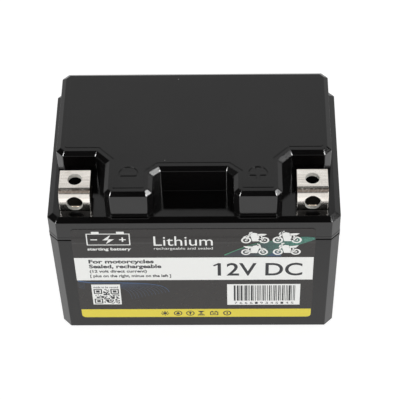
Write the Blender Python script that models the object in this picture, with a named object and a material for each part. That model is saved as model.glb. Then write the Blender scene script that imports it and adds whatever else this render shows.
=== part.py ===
"""Small sealed motorcycle battery, 12 V lithium.

A case, a stepped lid, two folded terminals, four round cells and their electronics.

The origin is on the ground under the middle of the case. +X is to the right, +Y to the back, +Z up.
The terminals and the label are on the front, the -Y side. All constants are in millimetres.
"""

import math

import bmesh
import bpy
from mathutils import Matrix, Vector

MM = 0.001
GAP = 0.3                      # clearance between neighbouring pieces

# Overall size of the standard case, over the lips at the seam
LENGTH = 114.0
DEPTH = 70.0
HEIGHT = 85.0
LIP = 0.1                      # how far the lips at the seam stand proud of the walls
CORNER = 3.4                   # chamfer of the vertical corners
WALL = 2.2
FLOOR = 2.4
DRAFT_X = 0.4                  # how far each side wall leans in at the bottom
DRAFT_Y = 1.2
FOOT_BEVEL = 0.2
SEAM_Z = 60.1                  # middle of the joint between case and lid
SEAM_GAP = 0.6
LIP_HEIGHT = 1.3
TONGUE = 1.1                   # the case's tongue inside the lid's skirt
TONGUE_TOP_Z = 62.6
REBATE_TOP_Z = 64.2

# Lid
BEVEL = 1.7                    # width of the bevel round the raised block
BEVEL_RISE = 1.3
LEDGE_Z = 71.9
SHOULDER = 2.2                 # width of the bevel round the ledge
SHOULDER_Z = LEDGE_Z - 1.45
BLOCK_X = 53.7                 # half length of the raised block
BLOCK_BACK_Y = 32.1
BLOCK_CORNER = 2.6
NOTCH_Y = -11.8                # back wall of the two terminal notches
NOTCH_X = 38.3                 # where that wall turns into the diagonal
BUMP_OUTER_X = 34.2
BUMP_DIAGONAL_Y = -15.9
BUMP_FRONT_Y = -32.4
BUMP_INNER_X = 15.6
BUMP_CORNER = 2.2
RECESS_Y = -19.8               # back wall of the middle recess
RECESS_X = 12.7
RECESS_DIAGONAL_Y = -22.2
PANEL_INSET = 3.3              # from the block's walls to the shallow raised panel on top
PANEL_HEIGHT = 0.2

# Polarity marks on the bumps
MARK_X = 24.9
MARK_Y = -22.3
MARK_RADIUS = 3.8
MARK_DEPTH = 0.32
MARK_BAR = (6.2, 1.4)
MARK_BAR_Y = 0.1               # the bar lies a little behind the dish's middle
MARK_STEM = (-3.95, 3.0)       # the upright bar of the plus, along Y
MARK_SUNK = 0.04               # how far the bars stay below the panel's face

# Terminals: a plated strip folded into a C that is open at the back
TERMINAL_X = 45.9
TERMINAL_WIDTH = 12.1
STRIP = 2.0
TERMINAL_BACK_Y = -16.9        # cut ends of the top and bottom plates
TERMINAL_FRONT_Y = -29.6
TERMINAL_TOP_Z = 81.3
TERMINAL_BOTTOM_Z = 70.0
BOTTOM_BEND = 2.5
TOP_BEND = 4.0
TOP_HOLE_RADIUS = 2.7
TOP_HOLE_Y = -21.6
FRONT_SLOT = (3.05, 3.6)       # half width and half height of the oval hole in the front plate
FRONT_SLOT_Z = 75.95
FRONT_SLOT_TILT = math.radians(6)
BOSS_WALL = 1.2                # wall of the lid's boss round a terminal's pocket
TAB_WIDTH = 7.0
TAB_THICKNESS = 1.6
TAB_Y = -20.8                  # middle of the tab that goes down through the lid
TAB_END_Z = 56.6
SEAL_MARGIN = 2.0              # from the tab's edge to the gasket's end
SEAL_HALF_DEPTH = 3.0
SEAL_HEIGHT = 1.5
LUG_Z = 60.8                   # height of the lug's screw
SCREW_RADIUS = 1.9

# Label on the front face
LABEL_X = -0.4
LABEL_HALF = 47.8
LABEL_Z = (6.3, 67.0)
LABEL_CORNER = 2.2
LABEL_THICKNESS = 0.2
LABEL_GAP = 0.15

# Cells: four round cells side by side, every second one upside down
CELL_RADIUS = 13.0
CELL_LENGTH = 65.0
CELL_PITCH = 26.8
CELL_Y = 4.2
LINK_THICKNESS = 0.3
BOTTOM_PAD = 0.8
CELL_Z = FLOOR + BOTTOM_PAD + LINK_THICKNESS + 3 * GAP
CELL_TOP_Z = CELL_Z + CELL_LENGTH
HOLDER_HALF = (50.0, 13.8)
HOLDER_HEIGHT = 6.0
HOLDER_Z = (9.0, 59.0)
LINK_WIDTH = 12.0
WELD_SLIT = (3.5, 0.4)         # half length and half width of the slit between two weld spots
TONGUE_HALF = 2.0              # half width of a link's tongue for its sense wire
LOWER_TONGUE_Y = -12.4
END_TAB_REACH = 14.0

# Protection board, standing in front of the cells
BOARD_Y = (-15.2, -13.6)
BOARD_HALF = 36.0
BOARD_Z = (14.0, 57.0)
LEAD_RADIUS = 2.2
SENSE_RADIUS = 0.65
SENSE_PITCH = 2.5
SENSE_X = 21.0
SENSE_RISE = (68.0, 60.5, 66.0, 62.3, 64.2)    # height at which each wire turns over the board's top
CONNECTOR_Z = (40.0, 46.0)
CONNECTOR_DEPTH = 4.6
CONNECTOR_MARGIN = 2.2         # from the outer wires to the connector's ends

ROUND_STEPS = 32


# ---------------------------------------------------------------- outlines

def corner_rectangle(half_x, half_y, chamfer):
    """A rectangle with chamfered corners, counter-clockwise from its front right."""
    quarter = [(half_x - chamfer, -half_y), (half_x, chamfer - half_y)]
    right = quarter + [(x, -y) for x, y in reversed(quarter)]
    return right + [(-x, y) for x, y in reversed(right)]


def inset(outline, distance):
    """The outline with each side moved inwards by distance."""
    moved = []
    count = len(outline)
    for i in range(count):
        before = Vector(outline[i - 1])
        here = Vector(outline[i])
        after = Vector(outline[(i + 1) % count])
        a = (here - before).normalized()
        b = (after - here).normalized()
        normal_a = Vector((-a.y, a.x))
        normal_b = Vector((-b.y, b.x))
        mitre = (normal_a + normal_b) / (1 + normal_a.dot(normal_b))
        moved.append(tuple(here + mitre * distance))
    return moved


def block_outline():
    """The raised block seen from above: two notches and a middle recess on its front."""
    diagonal = RECESS_DIAGONAL_Y - RECESS_Y
    right = [
        (RECESS_X, RECESS_Y),
        (BUMP_INNER_X, RECESS_Y + diagonal),
        (BUMP_INNER_X, BUMP_FRONT_Y + BUMP_CORNER),
        (BUMP_INNER_X + BUMP_CORNER, BUMP_FRONT_Y),
        (BUMP_OUTER_X - BUMP_CORNER, BUMP_FRONT_Y),
        (BUMP_OUTER_X, BUMP_FRONT_Y + BUMP_CORNER),
        (BUMP_OUTER_X, BUMP_DIAGONAL_Y),
        (NOTCH_X, NOTCH_Y),
        (BLOCK_X - BLOCK_CORNER, NOTCH_Y),
        (BLOCK_X, NOTCH_Y + BLOCK_CORNER),
        (BLOCK_X, BLOCK_BACK_Y - BLOCK_CORNER),
        (BLOCK_X - BLOCK_CORNER, BLOCK_BACK_Y),
    ]
    return right + [(-x, y) for x, y in reversed(right)]


def arc(centre, radius, start, end, steps):
    """Points on an arc, angles in radians."""
    angles = [start + (end - start) * i / steps for i in range(steps + 1)]
    return [(centre[0] + radius * math.cos(a), centre[1] + radius * math.sin(a)) for a in angles]


def rounded_rectangle(half_x, half_y, radius, steps=4):
    """A rectangle with round corners, counter-clockwise."""
    points = []
    for turn, (sx, sy) in enumerate(((1, -1), (1, 1), (-1, 1), (-1, -1))):
        centre = (sx * (half_x - radius), sy * (half_y - radius))
        start = math.pi / 2 * (turn - 1)
        points += arc(centre, radius, start, start + math.pi / 2, steps)
    return points


# ---------------------------------------------------------------- solids

def loft(sections):
    """A closed solid through stacked (outline, z) sections that have equal numbers of points."""
    bm = bmesh.new()
    rings = [[bm.verts.new((x, y, z)) for x, y in outline] for outline, z in sections]
    bm.faces.new(reversed(rings[0]))
    bm.faces.new(rings[-1])
    count = len(rings[0])
    for low, high in zip(rings, rings[1:]):
        for i in range(count):
            j = (i + 1) % count
            bm.faces.new((low[i], low[j], high[j], high[i]))
    return bm


def prism(outline, low, high):
    return loft([(outline, low), (outline, high)])


def box(x, y, z):
    """A box from its three (low, high) ranges."""
    outline = [(x[0], y[0]), (x[1], y[0]), (x[1], y[1]), (x[0], y[1])]
    return prism(outline, *z)


def lathe(profile, steps=ROUND_STEPS):
    """A closed solid turned about Z from (radius, z) points, bottom to top, none on the axis."""
    circle = [(math.cos(2 * math.pi * i / steps), math.sin(2 * math.pi * i / steps)) for i in range(steps)]
    return loft([([(radius * c, radius * s) for c, s in circle], z) for radius, z in profile])


def cylinder(radius, low, high, steps=24):
    return lathe([(radius, low), (radius, high)], steps)


def placed(bm, location=(0, 0, 0), rotation=None):
    """The same solid, turned and then moved."""
    if rotation:
        bmesh.ops.transform(bm, matrix=rotation, verts=bm.verts)
    bmesh.ops.translate(bm, vec=location, verts=bm.verts)
    return bm


def along_x(bm):
    """Turns a solid made along Z so that it runs along +X, its own X and Y becoming Y and Z."""
    turn = Matrix(((0, 0, 1, 0), (1, 0, 0, 0), (0, 1, 0, 0), (0, 0, 0, 1)))
    bmesh.ops.transform(bm, matrix=turn, verts=bm.verts)
    return bm


def along_y(bm):
    """Turns a solid made along Z so that it runs along +Y."""
    return placed(bm, rotation=Matrix.Rotation(-math.pi / 2, 4, "X"))


# ---------------------------------------------------------------- objects

def material(name, colour, roughness=0.5, metallic=0.0):
    made = bpy.data.materials.new(name)
    made.use_nodes = True
    shader = made.node_tree.nodes["Principled BSDF"]
    shader.inputs["Base Color"].default_value = (*colour, 1.0)
    shader.inputs["Roughness"].default_value = roughness
    shader.inputs["Metallic"].default_value = metallic
    made.diffuse_color = (*colour, 1.0)
    return made


def add(name, bm, finish=None, location=(0, 0, 0), smooth=False):
    """Makes an object of a solid in millimetres, and frees the solid."""
    bmesh.ops.scale(bm, vec=(MM, MM, MM), verts=bm.verts)
    mesh = bpy.data.meshes.new(name)
    bm.to_mesh(mesh)
    bm.free()
    if smooth:
        mesh.shade_smooth()
        mesh.set_sharp_from_angle(angle=math.radians(35))
    made = bpy.data.objects.new(name, mesh)
    made.location = Vector(location) * MM
    bpy.context.scene.collection.objects.link(made)
    if finish:
        mesh.materials.append(finish)
    return made


def combine(target, bm, operation):
    """Joins or cuts the target with a hidden helper solid, in the target's own coordinates."""
    helper = add(f"{target.name}_helper", bm)
    helper.parent = target
    helper.hide_render = True
    helper.display_type = "WIRE"
    modifier = target.modifiers.new(operation.title(), "BOOLEAN")
    modifier.operation = operation
    modifier.object = helper


def cut(target, bm):
    combine(target, bm, "DIFFERENCE")


def join(target, bm):
    combine(target, bm, "UNION")


def wire(name, points, radius, finish, resolution=2):
    """A tube with closed ends on a smooth curve through the points."""
    curve = bpy.data.curves.new(name, "CURVE")
    curve.dimensions = "3D"
    curve.bevel_depth = radius * MM
    curve.bevel_resolution = resolution
    curve.use_fill_caps = True
    smooth = smooth_route([Vector(p) for p in points])
    spline = curve.splines.new("POLY")
    spline.points.add(len(smooth) - 1)
    for point, place in zip(spline.points, smooth):
        point.co = (*(place * MM), 1.0)
    curve.materials.append(finish)
    made = bpy.data.objects.new(name, curve)
    bpy.context.scene.collection.objects.link(made)
    return made


def smooth_route(points, steps=3):
    """Points on a Catmull-Rom curve through the given ones."""
    ends = [2 * points[0] - points[1]] + points + [2 * points[-1] - points[-2]]
    route = []
    for a, b, c, d in zip(ends, ends[1:], ends[2:], ends[3:]):
        for i in range(steps):
            t = i / steps
            square = (2 * a - 5 * b + 4 * c - d) * t**2
            cube = (3 * b - a - 3 * c + d) * t**3
            route.append((2 * b + (c - a) * t + square + cube) / 2)
    return route + [points[-1]]


# ---------------------------------------------------------------- case and lid

HALF_X = LENGTH / 2 - LIP
HALF_Y = DEPTH / 2 - LIP


def wall_outline(out=0.0):
    """The case seen from above: its walls, moved outwards."""
    return inset(corner_rectangle(HALF_X, HALF_Y, CORNER), -out)


def base_outline(out=0.0):
    """The same at the bottom, where the walls lean in."""
    return inset(corner_rectangle(HALF_X - DRAFT_X, HALF_Y - DRAFT_Y, CORNER), -out)


def case_box(finish):
    rim = SEAM_Z - SEAM_GAP / 2
    body = loft([
        (base_outline(-FOOT_BEVEL), 0),
        (base_outline(), FOOT_BEVEL),
        (wall_outline(), rim - LIP_HEIGHT - LIP),
        (wall_outline(LIP), rim - LIP_HEIGHT),
        (wall_outline(LIP), rim),
    ])
    case = add("case_box", body, finish)
    join(case, prism(wall_outline(TONGUE - WALL), rim - 1, TONGUE_TOP_Z))
    cut(case, loft([
        (base_outline(-WALL), FLOOR),
        (wall_outline(-WALL), rim),
        (wall_outline(-WALL), TONGUE_TOP_Z + 1),
    ]))


def lid(finish):
    rim = SEAM_Z + SEAM_GAP / 2
    block = block_outline()
    under = LEDGE_Z - WALL
    skirt = loft([
        (wall_outline(LIP), rim),
        (wall_outline(LIP), rim + LIP_HEIGHT),
        (wall_outline(), rim + LIP_HEIGHT + LIP),
        (wall_outline(), SHOULDER_Z),
        (wall_outline(-SHOULDER), LEDGE_Z),
    ])
    top = add("lid", skirt, finish)
    join(top, loft([
        (block, under + 0.5),
        (block, HEIGHT - PANEL_HEIGHT - BEVEL_RISE),
        (inset(block, BEVEL), HEIGHT - PANEL_HEIGHT),
    ]))
    panel = inset(block, PANEL_INSET)
    join(top, loft([(panel, HEIGHT - 1), (inset(panel, PANEL_HEIGHT), HEIGHT)]))
    cut(top, prism(inset(block, WALL), under - 1, HEIGHT - PANEL_HEIGHT - WALL))
    cut(top, loft([
        (wall_outline(TONGUE - WALL + GAP), rim - 1),
        (wall_outline(TONGUE - WALL + GAP), REBATE_TOP_Z),
        (wall_outline(-WALL), REBATE_TOP_Z + 0.01),
        (wall_outline(-WALL), under),
    ]))
    for side in (-1, 1):
        terminal_seat(top, side)
    length, width = (size / 2 for size in MARK_BAR)
    bar = ((-length, length), (MARK_BAR_Y - width, MARK_BAR_Y + width))
    polarity_mark(top, -MARK_X, [bar])
    polarity_mark(top, MARK_X, [bar, ((-width, width), MARK_STEM)])


def terminal_seat(top, side):
    """The boss under the ledge, the pocket in it that holds a terminal, and the slot for its tab."""
    middle = side * TERMINAL_X
    half = TERMINAL_WIDTH / 2 + GAP
    floor = TERMINAL_BOTTOM_Z - GAP
    wide = half + BOSS_WALL
    join(top, box(
        (middle - wide, middle + wide),
        (TERMINAL_FRONT_Y - GAP - BOSS_WALL, TERMINAL_BACK_Y + GAP + BOSS_WALL),
        (floor - WALL, LEDGE_Z - WALL + 0.5),
    ))
    cut(top, box(
        (middle - half, middle + half),
        (TERMINAL_FRONT_Y - GAP, TERMINAL_BACK_Y + GAP),
        (floor, LEDGE_Z + 1),
    ))
    slot = TAB_WIDTH / 2 + GAP
    cut(top, box(
        (middle - slot, middle + slot),
        (TAB_Y - TAB_THICKNESS / 2 - GAP, TAB_Y + TAB_THICKNESS / 2 + GAP),
        (floor - WALL - 1, floor + 1),
    ))


def polarity_mark(top, x, bars):
    """A shallow round dish with a raised bar or cross in it, given as ranges along X and Y."""
    dish = cylinder(MARK_RADIUS, HEIGHT - MARK_DEPTH, HEIGHT + 1, ROUND_STEPS)
    cut(top, placed(dish, (x, MARK_Y, 0)))
    for across, along in bars:
        bar = box(across, along, (HEIGHT - 1, HEIGHT - MARK_SUNK))
        join(top, placed(bar, (x, MARK_Y, 0)))


def sealing_ring(finish):
    """Adhesive bead between the case's tongue and the lid's rebate."""
    ring = add("lid_sealing_bead", prism(
        wall_outline(TONGUE - WALL), TONGUE_TOP_Z + GAP, REBATE_TOP_Z - GAP), finish)
    cut(ring, prism(wall_outline(GAP - WALL), TONGUE_TOP_Z, REBATE_TOP_Z))


def front_label(finish):
    """A printed sheet that follows the front face and the two lips at the seam."""
    low, high = LABEL_Z
    middle = (low + high) / 2
    outline = rounded_rectangle(LABEL_HALF, (high - low) / 2, LABEL_CORNER)
    bm = prism([(x, -z) for x, z in reversed(outline)], 0, LABEL_THICKNESS)
    placed(bm, (LABEL_X, 0, middle), Matrix.Rotation(math.pi / 2, 4, "X"))
    rim = SEAM_GAP / 2
    levels = [SEAM_Z - rim - LIP_HEIGHT - LIP, SEAM_Z - rim - LIP_HEIGHT]
    levels += [SEAM_Z + rim + LIP_HEIGHT, SEAM_Z + rim + LIP_HEIGHT + LIP]
    for level in levels:
        geometry = list(bm.verts) + list(bm.edges) + list(bm.faces)
        bmesh.ops.bisect_plane(bm, geom=geometry, plane_co=(0, 0, level), plane_no=(0, 0, 1))
    for vertex in bm.verts:
        vertex.co.y += wall_y(vertex.co.z, levels) - LABEL_GAP
    add("front_label", bm, finish)


def wall_y(z, levels):
    """Where the front face is at height z."""
    if levels[1] - 0.01 < z < levels[2] + 0.01:
        return -DEPTH / 2
    if z >= levels[3] - 0.01:
        return -HALF_Y
    return -HALF_Y + DRAFT_Y * (1 - min(z / levels[0], 1))


# ---------------------------------------------------------------- terminals

def strip_profile():
    """The folded strip from the side, as (y, z) points: out along one face and back along the other."""
    low = (TERMINAL_FRONT_Y + BOTTOM_BEND, TERMINAL_BOTTOM_Z + BOTTOM_BEND)
    high = (TERMINAL_FRONT_Y + TOP_BEND, TERMINAL_TOP_Z - TOP_BEND)
    faces = []
    for depth in (0, STRIP):
        face = [(TERMINAL_BACK_Y, TERMINAL_BOTTOM_Z + depth)]
        face += arc(low, BOTTOM_BEND - depth, -math.pi / 2, -math.pi, 5)
        face += arc(high, TOP_BEND - depth, math.pi, math.pi / 2, 10)
        faces.append(face + [(TERMINAL_BACK_Y, TERMINAL_TOP_Z - depth)])
    outside, inside = faces
    return outside + inside[::-1]


def terminal(name, side, finish):
    half = TERMINAL_WIDTH / 2
    shell = along_x(prism(strip_profile()[::-1], -half, half))
    made = add(name, shell, finish, smooth=True)
    join(made, box(
        (-TAB_WIDTH / 2, TAB_WIDTH / 2),
        (TAB_Y - TAB_THICKNESS / 2, TAB_Y + TAB_THICKNESS / 2),
        (TAB_END_Z, TERMINAL_BOTTOM_Z + STRIP / 2),
    ))
    top_hole = cylinder(TOP_HOLE_RADIUS, TERMINAL_TOP_Z - STRIP - 1, TERMINAL_TOP_Z + 1)
    cut(made, placed(top_hole, (0, TOP_HOLE_Y, 0)))
    slot = along_y(prism(rounded_rectangle(*FRONT_SLOT, FRONT_SLOT[0], 8), -1, STRIP + 1))
    tilt = Matrix.Rotation(-FRONT_SLOT_TILT, 4, "X")
    cut(made, placed(slot, (0, TERMINAL_FRONT_Y, FRONT_SLOT_Z), tilt))
    cut(made, placed(along_y(cylinder(SCREW_RADIUS + GAP, -2, 2)), (0, TAB_Y, LUG_Z)))
    made.location.x = side * TERMINAL_X * MM
    return made


def terminal_seal(name, side, finish):
    """Soft gasket under the lid's boss, round the tab."""
    top = TERMINAL_BOTTOM_Z - GAP - WALL - GAP
    half = TAB_WIDTH / 2
    wide = half + SEAL_MARGIN
    deep = (TAB_Y - SEAL_HALF_DEPTH, TAB_Y + SEAL_HALF_DEPTH)
    made = add(name, box((-wide, wide), deep, (top - SEAL_HEIGHT, top)), finish)
    slot = TAB_THICKNESS / 2 + GAP
    cut(made, box((-half - GAP, half + GAP), (TAB_Y - slot, TAB_Y + slot), (top - 3, top + 1)))
    made.location.x = side * TERMINAL_X * MM


# Places along Y of the screwed joint between a tab and its lug
TAB_FRONT_Y = TAB_Y - TAB_THICKNESS / 2
TAB_REAR_Y = TAB_Y + TAB_THICKNESS / 2
LUG_THICKNESS = 1.0
LUG_FRONT_Y = TAB_FRONT_Y - GAP - LUG_THICKNESS
LUG_RING = 4.2
LUG_BARREL = (6.5, 13.5)       # from the screw's axis towards the middle of the battery
LUG_BARREL_RADIUS = 3.0
LUG_BARREL_Y = LUG_FRONT_Y - 1.0
LUG_NECK = 2.4                 # half height of the neck between ring and barrel
HEAD_RADIUS = 3.6
HEAD_HEIGHT = 2.2
HEAD_CROWN = 0.6               # bevel of the screw's head
CROSS_HALF = (2.0, 0.4)
CROSS_DEPTH = 1.0
SHANK_PAST_TAB = 3.6
NUT_RADIUS = 4.0
NUT_HEIGHT = 2.8


def lug(name, side, finish):
    """A crimped ring lug: a flat ring with a barrel that points to the middle of the battery."""
    ring = arc((0, 0), LUG_RING, math.radians(30), math.radians(330), 20)
    neck = [(LUG_BARREL[0] + 2, -LUG_NECK), (LUG_BARREL[0] + 2, LUG_NECK)]
    plate = prism([(x, z) for x, z in ring + neck], 0, LUG_THICKNESS)
    placed(plate, rotation=Matrix.Rotation(math.pi / 2, 4, "X"))
    made = add(name, placed(plate, (0, LUG_FRONT_Y + LUG_THICKNESS, 0)), finish, smooth=True)
    barrel = along_x(lathe([(LUG_BARREL_RADIUS, LUG_BARREL[0]), (LUG_BARREL_RADIUS, LUG_BARREL[1])], 20))
    join(made, placed(barrel, (0, LUG_BARREL_Y, 0)))
    bore = along_x(cylinder(LEAD_RADIUS + GAP, LUG_BARREL[0] + 3, LUG_BARREL[1] + 1, 20))
    cut(made, placed(bore, (0, LUG_BARREL_Y, 0)))
    cut(made, placed(along_y(cylinder(SCREW_RADIUS + GAP, -3, 3)), (0, LUG_FRONT_Y, 0)))
    made.location = Vector((side * TERMINAL_X, 0, LUG_Z)) * MM
    if side > 0:
        made.rotation_euler.y = math.pi
    return made


def lug_screw(name, side, finish):
    """A pan-head screw, its head in front of the lug."""
    head_back = LUG_FRONT_Y - GAP
    head_front = head_back - HEAD_HEIGHT
    shank_end = TAB_REAR_Y + SHANK_PAST_TAB
    profile = [(HEAD_RADIUS - HEAD_CROWN, head_front), (HEAD_RADIUS, head_front + HEAD_CROWN)]
    profile += [(HEAD_RADIUS, head_back)]
    profile += [(SCREW_RADIUS, head_back + 0.01), (SCREW_RADIUS, shank_end)]
    made = add(name, along_y(lathe(profile, 20)), finish, smooth=True)
    for turn in (0, math.pi / 2):
        slot = box((-CROSS_HALF[0], CROSS_HALF[0]), (head_front - 1, head_front + CROSS_DEPTH),
                   (-CROSS_HALF[1], CROSS_HALF[1]))
        cut(made, placed(slot, rotation=Matrix.Rotation(turn, 4, "Y")))
    made.location = Vector((side * TERMINAL_X, 0, LUG_Z)) * MM


def lug_nut(name, side, finish):
    start = TAB_REAR_Y + GAP
    made = add(name, along_y(cylinder(NUT_RADIUS, start, start + NUT_HEIGHT, 6)), finish)
    cut(made, along_y(cylinder(SCREW_RADIUS + GAP / 2, start - 1, start + 4)))
    made.location = Vector((side * TERMINAL_X, 0, LUG_Z)) * MM


# ---------------------------------------------------------------- cells

def cell_places():
    return [(i - 1.5) * CELL_PITCH for i in range(4)]


def cell(name, x, upright, finish):
    """A round cell with its crimp and its raised positive cap; upright puts that cap on top."""
    radius = CELL_RADIUS
    end = CELL_LENGTH
    profile = [
        (radius - 0.6, 0), (radius, 0.6), (radius, end - 5.4), (radius - 0.8, end - 4.6),
        (radius - 0.8, end - 4.0), (radius, end - 3.2), (radius, end - 1.8), (radius - 0.8, end - 1.0),
        (5.6, end - 1.0), (5.0, end),
    ]
    bm = lathe(profile)
    if not upright:
        placed(bm, (0, 0, end), Matrix.Rotation(math.pi, 4, "X"))
    add(name, bm, finish, (x, CELL_Y, CELL_Z), smooth=True)


def cell_holder(name, z, finish):
    half_x, half_y = HOLDER_HALF
    plate = box((-half_x, half_x), (CELL_Y - half_y, CELL_Y + half_y), (z, z + HOLDER_HEIGHT))
    made = add(name, plate, finish)
    for x in cell_places():
        hole = cylinder(CELL_RADIUS + GAP - 0.05, z - 1, z + HOLDER_HEIGHT + 1, ROUND_STEPS)
        cut(made, placed(hole, (x, CELL_Y, 0)))


def link(name, first, second, on_top, finish):
    """A nickel strip that joins two cells, slit at each weld, with a tongue for its sense wire."""
    places = cell_places()
    low = CELL_TOP_Z + GAP if on_top else CELL_Z - GAP - LINK_THICKNESS
    high = low + LINK_THICKNESS
    ends = (places[first] - LINK_WIDTH / 2, places[second] + LINK_WIDTH / 2)
    made = add(name, box(ends, (CELL_Y - LINK_WIDTH / 2, CELL_Y + LINK_WIDTH / 2), (low, high)), finish)
    middle = (places[first] + places[second]) / 2
    tongue_end = CELL_Y - LINK_WIDTH if on_top else LOWER_TONGUE_Y
    join(made, box((middle - TONGUE_HALF, middle + TONGUE_HALF), (tongue_end, CELL_Y), (low, high)))
    for x in (places[first], places[second]):
        weld_slit(made, x, (low, high))


def weld_slit(target, x, levels):
    length, width = WELD_SLIT
    low, high = levels
    across = (CELL_Y - width, CELL_Y + width)
    cut(target, box((x - length, x + length), across, (low - 1, high + 1)))


def end_tab(name, x, side, finish):
    """The strip on an end cell that its lead is soldered to."""
    low = CELL_TOP_Z + GAP
    high = low + LINK_THICKNESS
    inner = x - side * END_TAB_REACH
    outer = x + side * LINK_WIDTH / 2
    across = (CELL_Y - LINK_WIDTH / 2, CELL_Y + LINK_WIDTH / 2)
    made = add(name, box(sorted((inner, outer)), across, (low, high)), finish)
    weld_slit(made, x, (low, high))


# ---------------------------------------------------------------- protection board

# Chips as (width, height off the board, length)
MOSFET = (6.2, 1.2, 5.4)
MOSFET_PITCH = 8.2
MOSFET_Z = 27.0
CONTROLLER = (7.0, 1.0, 5.0)
BALANCER = (5.0, 1.0, 5.0)
CHIPS_Z = 47.0
RESISTOR = (1.8, 0.7, 3.2)
RESISTORS = (-30.0, 3.4, 38.0)  # first one's x, their pitch, their z
SPREADER_HALF = 25.0
SPREADER_THICKNESS = 2.0
SPREADER_REACH = 6.0           # above and below the transistors' middle
FIN_PITCH = 9.0
FIN_GROOVE = (0.8, 1.2)        # half width of a groove, and what is left behind it


def protection_board(finish):
    """The circuit board with its switching transistors and chips on its front."""
    front = BOARD_Y[0]
    made = add("protection_board", box((-BOARD_HALF, BOARD_HALF), BOARD_Y, BOARD_Z), finish)
    for i in range(6):
        x = (i - 2.5) * MOSFET_PITCH
        join(made, chip(x, front, MOSFET_Z, MOSFET))
    join(made, chip(-6.0, front, CHIPS_Z, CONTROLLER))
    join(made, chip(8.0, front, CHIPS_Z, BALANCER))
    start, pitch, z = RESISTORS
    for i in range(4):
        join(made, chip(start + i * pitch, front, z, RESISTOR))


def chip(x, front, z, size):
    """A chip of size (width, height off the board, length), slightly let into the board."""
    width, height, length = size
    across = (x - width / 2, x + width / 2)
    return box(across, (front - height, front + 0.2), (z - length / 2, z + length / 2))


def heat_spreader(finish):
    back = BOARD_Y[0] - MOSFET[1] - GAP
    front = back - SPREADER_THICKNESS
    low, high = MOSFET_Z - SPREADER_REACH, MOSFET_Z + SPREADER_REACH
    made = add("transistor_heat_spreader", box(
        (-SPREADER_HALF, SPREADER_HALF), (front, back), (low, high)), finish)
    half, left = FIN_GROOVE
    for i in range(5):
        x = (i - 2) * FIN_PITCH
        cut(made, box((x - half, x + half), (front - 1, back - left), (low - 1, high + 1)))


def sense_places():
    return [SENSE_X + i * SENSE_PITCH for i in range(5)]


def sense_connector(finish):
    """White plug on the board that the five sense wires go into, with an open top."""
    places = sense_places()
    back = BOARD_Y[0] - GAP
    made = add("sense_connector", box(
        (places[0] - CONNECTOR_MARGIN, places[-1] + CONNECTOR_MARGIN), (back - CONNECTOR_DEPTH, back),
        CONNECTOR_Z), finish)
    for x in places:
        hole = cylinder(SENSE_RADIUS + 0.25, CONNECTOR_Z[0] + 2, CONNECTOR_Z[1] + 1, 8)
        cut(made, placed(hole, (x, back - CONNECTOR_DEPTH / 2, 0)))


def sense_wires(colours):
    """One thin wire from the connector to each joint of the string of cells, along a route of points."""
    y = BOARD_Y[0] - GAP - CONNECTOR_DEPTH / 2
    channel = -11.4
    over = CELL_TOP_Z + GAP + LINK_THICKNESS + GAP + SENSE_RADIUS + 0.1
    under = CELL_Z - GAP - LINK_THICKNESS / 2
    link_1_2 = -CELL_PITCH
    link_3_4 = CELL_PITCH
    ends = [
        [(10, -17, 68), (-14, -17, 68), (-23, -14, 69.5), (-25.5, -10, 72), (-27.5, -4, over + 1),
         (-28, 0.5, over)],
        [(14, -14.5, 60), (-10, -13, 60), (link_1_2, channel, 57), (link_1_2, channel, 50),
         (link_1_2, channel, 20), (link_1_2, channel, under + 2)],
        [(4, -14.5, 66), (1, -12, 70.5), (0, -7.2, over + 1), (0, -5.5, over)],
        [(link_3_4, channel, 58), (link_3_4, channel, 50), (link_3_4, channel, 20),
         (link_3_4, channel, under + 2)],
        [(27, -14.5, 65.5), (26, -10.5, 71), (27, -4, over + 1), (28, 0.5, over)],
    ]
    for i, (x, rise) in enumerate(zip(sense_places(), SENSE_RISE)):
        plug = [(x, y, CONNECTOR_Z[0] + 3), (x, y, CONNECTOR_Z[1] + 3), (x, y, rise - 4)]
        turn = (x - 0.6 * (4 - i), -16.0, rise)
        wire(f"sense_wire_{i}", plug + [turn] + ends[i], SENSE_RADIUS, colours[i])


# ---------------------------------------------------------------- leads

def leads(black, red):
    """Three thick leads: cell 1 to the board, the board to one lug, and cell 4 to the other.

    Each list below is a lead's route, as points in millimetres.
    """
    over = CELL_TOP_Z + GAP + LINK_THICKNESS + GAP + LEAD_RADIUS
    pad_y = BOARD_Y[0] - GAP - LEAD_RADIUS
    barrel_end = TERMINAL_X - LUG_BARREL[1] + 2
    wire("cell_negative_lead", [
        (-38, 6.0, over), (-35.5, 1.5, over), (-31.5, -5, over + 0.5), (-29, -12, 71),
        (-29, -17.5, 66), (-30.5, -18.5, 60), (-31, pad_y, 54), (-31, pad_y, 48)], LEAD_RADIUS, black, 3)
    wire("output_negative_lead", [
        (-barrel_end, LUG_BARREL_Y, LUG_Z), (2 - barrel_end, LUG_BARREL_Y, LUG_Z),
        (4 - barrel_end, LUG_BARREL_Y, LUG_Z), (-24.5, -22, 58),
        (-21, -18.5, 53.5), (-21, pad_y, 48), (-21, pad_y, 43)], LEAD_RADIUS, black, 3)
    wire("positive_lead", [
        (37, 6.0, over), (35, 1.0, over), (31.5, -5, over + 0.5), (29, -14, 71), (27.5, -21, 65.5),
        (28.5, LUG_BARREL_Y, LUG_Z + 1), (barrel_end - 2, LUG_BARREL_Y, LUG_Z),
        (barrel_end, LUG_BARREL_Y, LUG_Z)], LEAD_RADIUS, red, 3)


# ---------------------------------------------------------------- padding

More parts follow.
